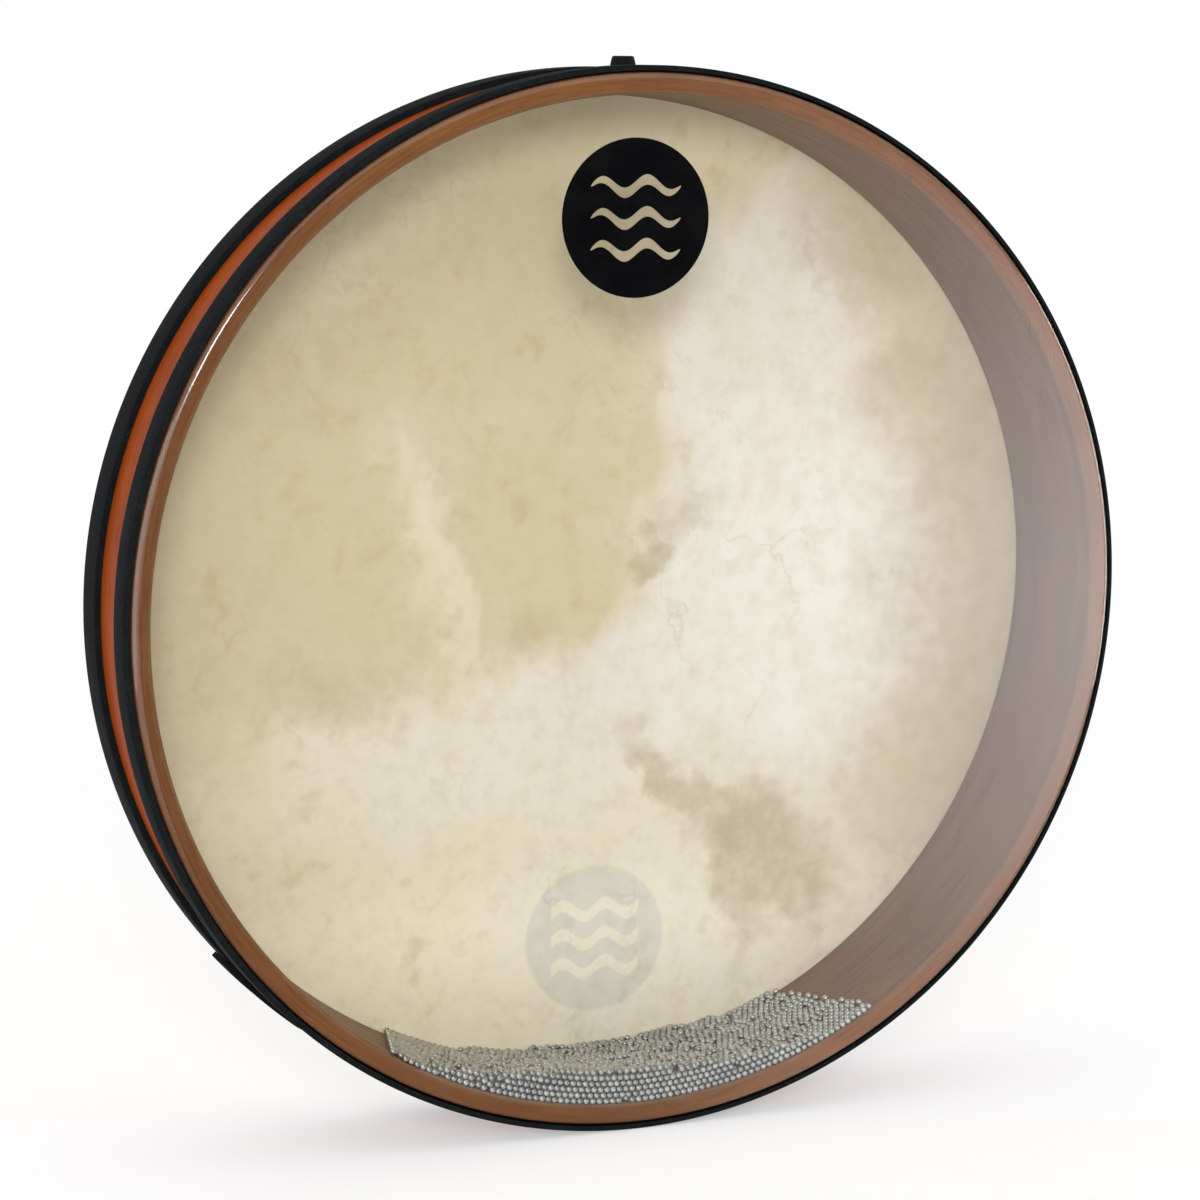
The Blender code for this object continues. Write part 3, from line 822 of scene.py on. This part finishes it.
def make_plug(finish):
    """A moulded rubber stopper: a lipped foot, a tapered cap with a dished top, and its stem."""
    low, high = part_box("filler_plug")
    base = SHELL_OUTER + GAP
    height = high.z - AXIS.z - base + PLUG_PROUD
    foot = (high.x - low.x) / 2
    stem = low.z - AXIS.z - base
    shaft = HOLE_RADIUS - GAP
    top, bend = CAP_TOP_ROUND, CAP_FOOT_ROUND
    outline = [(radius, height + drop) for radius, drop in CAP_DISH]
    outline += arc((CAP_TOP_RADIUS - top, height - top), top, 80, 10, 6) + list(CAP_TAPER)
    outline += arc((foot - bend, CAP_FOOT_HEIGHT), bend, 90, 0, 4)
    outline += [(foot, bend), (foot - GAP, 0.0), (shaft, 0.0)]
    outline += [(shaft, stem + STEM_CHAMFER), (shaft - STEM_CHAMFER, stem), (0.0, stem)]
    plug = turned_piece("filler_stopper", outline, finish)
    plug.location = at(base, PLUG_ANGLE, 0.0)
    return stands_for(plug, "plug", "black_rubber", "filler_plug")


def wave_outline(middle, length):
    """A wave that swells in its middle and comes to rounded points."""
    steps = 64
    upper, lower = [], []
    for i in range(steps + 1):
        along = i / steps
        x = (along - 0.5) * length
        y = middle + WAVE_HEIGHT * math.sin(4 * math.pi * x / WAVE_LENGTH)
        half = WAVE_STROKE / 2 * math.sin(math.pi * along) ** 0.45 if 0 < along < 1 else 0.0
        upper.append((x, y + half))
        lower.append((x, y - half))
    return upper + lower[-2:0:-1]


def make_badge(name, node, finish):
    """A round sticker with three waves cut through it."""
    low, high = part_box(node)
    flat = bpy.data.curves.new(name, "CURVE")
    flat.dimensions = "2D"
    flat.fill_mode = "BOTH"
    flat.extrude = (high.y - low.y) / 2
    radius = (high.x - low.x) / 2
    turns = np.radians(full_circle(192))
    outlines = [[(radius * math.cos(t), radius * math.sin(t)) for t in turns]]
    outlines += [wave_outline(row * WAVE_SPACING, WAVE_LENGTH) for row in (-1, 0, 1)]
    for outline in outlines:
        spline = flat.splines.new("POLY")
        spline.points.add(len(outline) - 1)
        for point, (x, y) in zip(spline.points, outline):
            point.co = (x, y, 0.0, 1.0)
        spline.use_cyclic_u = True
    source = linked(name + "_outline", flat)
    mesh = evaluated_mesh(source)
    bpy.data.objects.remove(source)
    middle = (low + high) / 2
    mesh.transform(Matrix.Translation(middle) @ Matrix.Rotation(math.radians(90), 4, "X"))
    badge = linked(name, mesh)
    mesh.materials.clear()
    mesh.materials.append(finish)
    clean(badge)
    return stands_for(badge, "drum", "badge", node)


# ---------- the balls

# The heap's outline at the film and at the skin: its two end angles, its greatest depth, and
# how far along it that lies.
HEAP_FRONT = {"start": 238.7, "end": 300.9, "depth": 0.0170, "peak": 0.45}
HEAP_REAR = {"start": 244.8, "end": 295.4, "depth": 0.0095, "peak": 0.56}
HEAP_ROUNDNESS = 1.5
HEAP_SEED = 7
LAYERS = 8
PACKING = 1.012
PHASE_JITTER = 0.09
DEPTH_JITTER = 0.0003
MISSING_BALLS = 0.05
LOWEST = 270.0  # the angle of the shell's lowest line
FRINGE = 0.9  # degrees that the lowest layer reaches out between the single balls
START_JITTER = 0.00015
SETTLE_ROUNDS = 160
SETTLE_PRESS = 0.00005
SETTLE_PUSH = 0.42  # the share of an overlap that one push takes back from each ball
BALL_GAP = 0.00002
PIECE_BALLS = 2400
LOOSE_DETAIL, HEAP_DETAIL = 3, 2


def heap_depth(heap, along):
    skew = math.log(0.5) / math.log(heap["peak"])
    hump = np.sin(np.pi * np.clip(along, 0, 1) ** skew) ** HEAP_ROUNDNESS
    return 2 * BALL_RADIUS + (heap["depth"] - 2 * BALL_RADIUS) * hump


def laid_balls(random, singles):
    """Balls laid in close layers on the shell, as (angle, radius, y), up to the heap's depth.

    The lowest layer reaches out between the single balls, given as points, and leaves their
    way clear.
    """
    single_angles = np.degrees(np.arctan2(singles[:, 2] - AXIS.z, singles[:, 0] - AXIS.x)) % 360
    step = 2 * BALL_RADIUS * PACKING
    row_step = step * math.sqrt(3) / 2
    layer_step = step * math.sqrt(2 / 3)
    first = FILM_INSIDE + BALL_RADIUS
    rows = int((SKIN_INSIDE - BALL_RADIUS - first) / row_step) + 1
    row_step = (SKIN_INSIDE - BALL_RADIUS - first) / (rows - 1)
    places = []
    for layer in range(LAYERS):
        for row in range(rows):
            y = first + row * row_step
            radius = inner_wall(y) - BALL_RADIUS - layer * layer_step
            share = (y - SHELL_REAR) / (SHELL_FRONT - SHELL_REAR)
            ends = [HEAP_REAR[k] + (HEAP_FRONT[k] - HEAP_REAR[k]) * share for k in ("start", "end")]
            start, end = ends
            pitch = math.degrees(step / radius)
            if layer == 0:
                start, end = start - FRINGE, end + FRINGE
            phase = (row % 2 + layer % 2) / 2 + PHASE_JITTER * random.standard_normal()
            angles = np.arange(start + pitch * (0.5 + phase % 1), end - pitch * 0.4, pitch)
            along = (angles - start) / (end - start)
            depth = heap_depth(HEAP_REAR, along) * (1 - share)
            depth = depth + heap_depth(HEAP_FRONT, along) * share
            depth = depth + DEPTH_JITTER * random.standard_normal(len(angles))
            kept = (layer * layer_step + 2 * BALL_RADIUS <= depth) | (layer == 0)
            kept &= random.random(len(angles)) > MISSING_BALLS
            for single in single_angles[np.abs(singles[:, 1] - y) < 2.1 * BALL_RADIUS]:
                ahead = angles > single - pitch if single > LOWEST else angles < single + pitch
                kept &= ~ahead
            places += [(angle, radius, y) for angle in angles[kept]]
    return np.array(places)


def close_pairs(points, reach):
    """Index pairs of points nearer than about reach, found through a grid of cells."""
    cells = np.floor(points / reach).astype(np.int64)
    cells -= cells.min(axis=0) - 1
    size = cells.max(axis=0) + 2
    keys = (cells[:, 0] * size[1] + cells[:, 1]) * size[2] + cells[:, 2]
    order = np.argsort(keys, kind="stable")
    sorted_keys = keys[order]
    found = []
    for dx, dy, dz in itertools.product((-1, 0, 1), repeat=3):
        offset = (dx * size[1] + dy) * size[2] + dz
        if offset < 0:
            continue
        left = np.searchsorted(sorted_keys, keys + offset, "left")
        right = np.searchsorted(sorted_keys, keys + offset, "right")
        for extra in range(int((right - left).max())):
            mine = np.nonzero(left + extra < right)[0]
            other = order[left[mine] + extra]
            keep = mine < other if offset == 0 else mine != other
            found.append(np.stack([mine[keep], other[keep]], axis=1))
    pairs = np.concatenate(found)
    apart = np.linalg.norm(points[pairs[:, 0]] - points[pairs[:, 1]], axis=1)
    return pairs[apart < reach]


def settled(points, fixed, random):
    """Lets the balls come to rest: pressed outward, pushed apart, held by the shell and heads."""
    points = points + START_JITTER * random.standard_normal(points.shape)
    everything = np.concatenate([points, fixed])
    free = np.arange(len(everything)) < len(points)
    closest = 2 * BALL_RADIUS + BALL_GAP
    for turn in range(SETTLE_ROUNDS):
        if turn % 8 == 0:
            pairs = close_pairs(everything, closest * 1.25)
        out = everything[:, [0, 2]] - (AXIS.x, AXIS.z)
        radius = np.linalg.norm(out, axis=1)
        press = SETTLE_PRESS * (1 - turn / SETTLE_ROUNDS)
        everything[free, 0] += press * (out / radius[:, None])[free, 0]
        everything[free, 2] += press * (out / radius[:, None])[free, 1]
        for _ in range(3):
            a, b = pairs[:, 0], pairs[:, 1]
            between = everything[b] - everything[a]
            apart = np.linalg.norm(between, axis=1)
            short = np.clip(closest - apart, 0.0, None)
            push = between / np.maximum(apart, 1e-9)[:, None] * (SETTLE_PUSH * short)[:, None]
            for axis in range(3):
                moved = np.bincount(b, push[:, axis], len(everything))
                moved -= np.bincount(a, push[:, axis], len(everything))
                everything[free, axis] += moved[free]
            out = everything[:, [0, 2]] - (AXIS.x, AXIS.z)
            radius = np.linalg.norm(out, axis=1)
            wall = inner_wall(everything[:, 1]) - BALL_RADIUS - BALL_GAP
            scale = np.minimum(1.0, wall / radius)
            everything[free, 0] = AXIS.x + (out[:, 0] * scale)[free]
            everything[free, 2] = AXIS.z + (out[:, 1] * scale)[free]
            low, high = FILM_INSIDE + BALL_RADIUS, SKIN_INSIDE - BALL_RADIUS
            everything[free, 1] = np.clip(everything[free, 1], low, high)
    return everything[: len(points)]


def ball_shape(subdivisions):
    """The points and faces of a ball about the origin."""
    bm = bmesh.new()
    bmesh.ops.create_icosphere(bm, subdivisions=subdivisions, radius=BALL_RADIUS)
    bm.verts.ensure_lookup_table()
    points = np.array([v.co for v in bm.verts])
    faces = np.array([[v.index for v in f.verts] for f in bm.faces])
    bm.free()
    return points, faces


def balls_mesh(name, centres, subdivisions, finish):
    points, faces = ball_shape(subdivisions)
    all_points = (centres[:, None, :] + points[None]).reshape(-1, 3)
    starts = np.arange(len(centres)) * len(points)
    all_faces = (starts[:, None, None] + faces[None]).reshape(-1, 3)
    return mesh_object(name, all_points.tolist(), all_faces.tolist(), finish, sharp=180.0)


def make_balls(finish):
    random = np.random.default_rng(HEAP_SEED)
    names = sorted(n for n in frame["nodes"] if n.startswith("loose_ball"))
    singles = []
    for name in names:
        low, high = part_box(name)
        middle = (low + high) / 2
        out = Vector((middle.x - AXIS.x, 0.0, middle.z - AXIS.z)).normalized()
        resting = AXIS + out * (inner_wall(middle.y) - BALL_RADIUS - 5 * BALL_GAP)
        singles.append((resting.x, middle.y, resting.z))
    singles = np.array(singles)
    for name, centre in zip(names, singles):
        ball = balls_mesh("rolling_" + name, centre[None], LOOSE_DETAIL, finish)
        stands_for(ball, name, "steel_balls", name)

    places = laid_balls(random, singles)
    turns = np.radians(places[:, 0])
    x = AXIS.x + places[:, 1] * np.cos(turns)
    z = AXIS.z + places[:, 1] * np.sin(turns)
    centres = settled(np.stack([x, places[:, 2], z], axis=1), singles, random)
    centres = centres[np.argsort(centres[:, 1])]
    count = math.ceil(len(centres) / PIECE_BALLS)
    for number, group in enumerate(np.array_split(centres, count), 1):
        heap = balls_mesh(f"ball_heap_{number}", group, HEAP_DETAIL, finish)
        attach(heap, "ball_heap")
        if number == 1:
            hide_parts("ball_fill")
    print("balls in the heap:", len(centres))


# ---------- the studio

CAMERA_SENSOR_MM = 36.0
BACKDROP_RADIUS = 14.0
FLOOR_DROP = BAND_PROUD + 0.0003
FLOOR_DARK = (0.62, 0.62, 0.62, 1)
FLOOR_LIGHT = (0.64, 0.64, 0.64, 1)
FLOOR_GLOW = 0.39
FLOOR_FADE_START, FLOOR_FADE_END = 0.7, 2.0
WORLD_STRENGTH = 0.88
CARD_DISTANCE = 0.11  # in front of the film
CARD_LEFT, CARD_RIGHT, CARD_TOP = -0.212, 0.45, 0.50
CARD_FADE_LEFT, CARD_FADE_RIGHT = 0.02, 0.313
CARD_MIDDLE = 0.207  # height of its brightest line
CARD_FALL = 0.224
CARD_STRENGTH = 4.6
CARD_TINT = (0.88, 0.97, 1.06, 1)
CARD_GRID = (0.52, 0.20)  # how much it faces away where its light is cut off, and where it is full
SIDE_CARD_DISTANCE = 0.9
SIDE_CARD_HALF_WIDTH, SIDE_CARD_HALF_HEIGHT = 0.9, 0.35
SIDE_CARD_FRONT, SIDE_CARD_REAR = -0.35, 0.50


def looking(azimuth, elevation):
    """The direction from the drum towards this azimuth and elevation."""
    a, e = math.radians(azimuth), math.radians(elevation)
    return Vector((math.sin(a) * math.cos(e), -math.cos(a) * math.cos(e), math.sin(e)))


def make_camera():
    back = looking(CAMERA_AZIMUTH, CAMERA_ELEVATION)
    turn, roll = math.radians(CAMERA_AZIMUTH), math.radians(CAMERA_ROLL)
    level_right = Vector((math.cos(turn), math.sin(turn), 0.0))
    level_up = back.cross(level_right)
    right = math.cos(roll) * level_right + math.sin(roll) * level_up
    up = -math.sin(roll) * level_right + math.cos(roll) * level_up
    target = AXIS - right * CAMERA_AIM_LEFT - up * CAMERA_AIM_DOWN
    data = bpy.data.cameras.new("camera")
    data.lens = CAMERA_LENS_MM
    data.sensor_width = CAMERA_SENSOR_MM
    camera = linked("camera", data)
    columns = Matrix((right, up, back)).transposed()
    camera.matrix_world = Matrix.Translation(target + back * CAMERA_DISTANCE) @ columns.to_4x4()
    bpy.context.scene.camera = camera


def area_light(name, azimuth, elevation, distance, side, watts):
    data = bpy.data.lights.new(name, "AREA")
    data.shape = "RECTANGLE"
    data.size = data.size_y = side
    data.energy = watts
    light = linked(name, data)
    towards = looking(azimuth, elevation)
    light.location = AXIS + towards * distance
    light.rotation_euler = towards.to_track_quat("Z", "Y").to_euler()
    light.visible_camera = False


def stage_mesh(name, build, finish):
    mesh = bpy.data.meshes.new(name)
    bm = bmesh.new()
    build(bm)
    bm.to_mesh(mesh)
    bm.free()
    mesh.materials.append(finish)
    made = linked(name, mesh)
    return made


def seen_only_by(made, kind):
    """Hides a stage piece from every kind of ray but one."""
    for rays in ("camera", "diffuse", "glossy", "transmission", "shadow", "volume_scatter"):
        setattr(made, "visible_" + rays, rays == kind)


def glow(name, strength, tint=(1, 1, 1, 1)):
    """A plain emitter. strength is a number or a function of the finish that gives a socket."""
    finish = Finish(name)
    value = strength(finish) if callable(strength) else strength
    emitter = finish.node("ShaderNodeEmission", {"Color": tint, "Strength": value})
    finish.material.cycles.emission_sampling = "NONE"
    return finish.surface(emitter)


def make_backdrop():
    """A wide pale floor inside a white dome that only the camera sees."""
    paper = Finish("floor_paper", Roughness=0.9, Specular_IOR_Level=0.1)
    paper.shader.inputs["Emission Color"].default_value = (1, 1, 1, 1)
    x, y, _ = paper.parts(paper.place())
    away = paper.span(paper.length(x, y), FLOOR_FADE_START, FLOOR_FADE_END)
    speckle = paper.noise(paper.place(), 30.0, detail=4.0)
    tone = paper.mix(speckle, FLOOR_DARK, FLOOR_LIGHT)
    tone = paper.mix(away, tone, (0, 0, 0, 1))
    shine = paper.times_plus(away, 1.0 - FLOOR_GLOW, FLOOR_GLOW)
    paper.material.cycles.emission_sampling = "NONE"

    def disc(bm):
        bmesh.ops.create_circle(bm, cap_ends=True, segments=96, radius=BACKDROP_RADIUS)

    def ball(bm):
        bmesh.ops.create_uvsphere(bm, u_segments=64, v_segments=32, radius=BACKDROP_RADIUS)

    floor = stage_mesh("floor", disc, paper.drive(Base_Color=tone, Emission_Strength=shine))
    floor.location.z = -FLOOR_DROP
    dome = stage_mesh("dome", ball, glow("dome_white", 1.0))
    seen_only_by(dome, "camera")


def make_world():
    world = bpy.data.worlds.new("studio")
    world.use_nodes = True
    background = world.node_tree.nodes["Background"]
    background.inputs["Color"].default_value = (1, 1, 1, 1)
    background.inputs["Strength"].default_value = WORLD_STRENGTH
    bpy.context.scene.world = world
    bpy.context.scene.view_settings.view_transform = "Standard"


def make_film_card():
    """A soft upright card at the right that only shows as the film's milky reflection.

    A grid over it keeps its light from leaving at a slant.
    """

    def strength(finish):
        x, _, z = finish.parts(finish.place())
        across = finish.span(x, CARD_FADE_LEFT, CARD_FADE_RIGHT, smooth=False)
        rise = finish.math("DIVIDE", finish.minus(z, CARD_MIDDLE), CARD_FALL)
        rise = finish.math("POWER", rise, 2.0)
        fall = finish.math("EXPONENT", finish.times(rise, -1.0))
        aslant = finish.node("ShaderNodeLayerWeight", {"Blend": 0.5}).outputs["Facing"]
        grid = finish.span(aslant, *CARD_GRID)
        spread = finish.times(across, fall)
        return finish.times(finish.times(spread, grid), CARD_STRENGTH)

    def build(bm):
        y = SHELL_FRONT - CARD_DISTANCE
        corners = [(CARD_LEFT, 0.0), (CARD_RIGHT, 0.0)]
        corners += [(CARD_RIGHT, CARD_TOP), (CARD_LEFT, CARD_TOP)]
        bm.faces.new([bm.verts.new((x, y, z)) for x, z in corners])

    card = stage_mesh("film_card", build, glow("card_glow", strength, CARD_TINT))
    seen_only_by(card, "glossy")


def make_side_card(name, azimuth, front, rear):
    """An upright glowing card beside the drum that only shows in the film's turned edge.

    Its strength goes from one value in front of the drum to another behind it.
    """
    up = Vector((0.0, 0.0, SIDE_CARD_HALF_HEIGHT))
    towards = looking(azimuth, 0.0)
    across = towards.cross(up).normalized() * SIDE_CARD_HALF_WIDTH
    middle = AXIS + towards * SIDE_CARD_DISTANCE

    def build(bm):
        corners = [middle - across - up, middle + across - up]
        corners += [middle + across + up, middle - across + up]
        bm.faces.new([bm.verts.new(corner) for corner in corners])

    def strength(finish):
        _, y, _ = finish.parts(finish.place())
        return finish.span(y, SIDE_CARD_FRONT, SIDE_CARD_REAR, front, rear, smooth=False)

    seen_only_by(stage_mesh(name, build, glow(name + "_glow", strength)), "glossy")


make_camera()
make_world()
make_backdrop()
make_film_card()
make_side_card("left_card", azimuth=-72.0, front=2.4, rear=2.4)
make_side_card("right_card", azimuth=76.0, front=7.0, rear=1.0)
area_light("key_softbox", azimuth=-23.0, elevation=18.5, distance=2.2, side=0.50, watts=18.5)
make_shell(wood_finish())
make_film(film_finish())
make_skin(skin_finish())
trim = trim_finish()
make_front_trim(trim)
make_rear_trim(trim)
make_plug(rubber_finish())
badge = badge_finish()
make_badge("front_sticker", "front_badge", badge)
make_badge("rear_sticker", "rear_badge", badge)
make_balls(steel_finish())
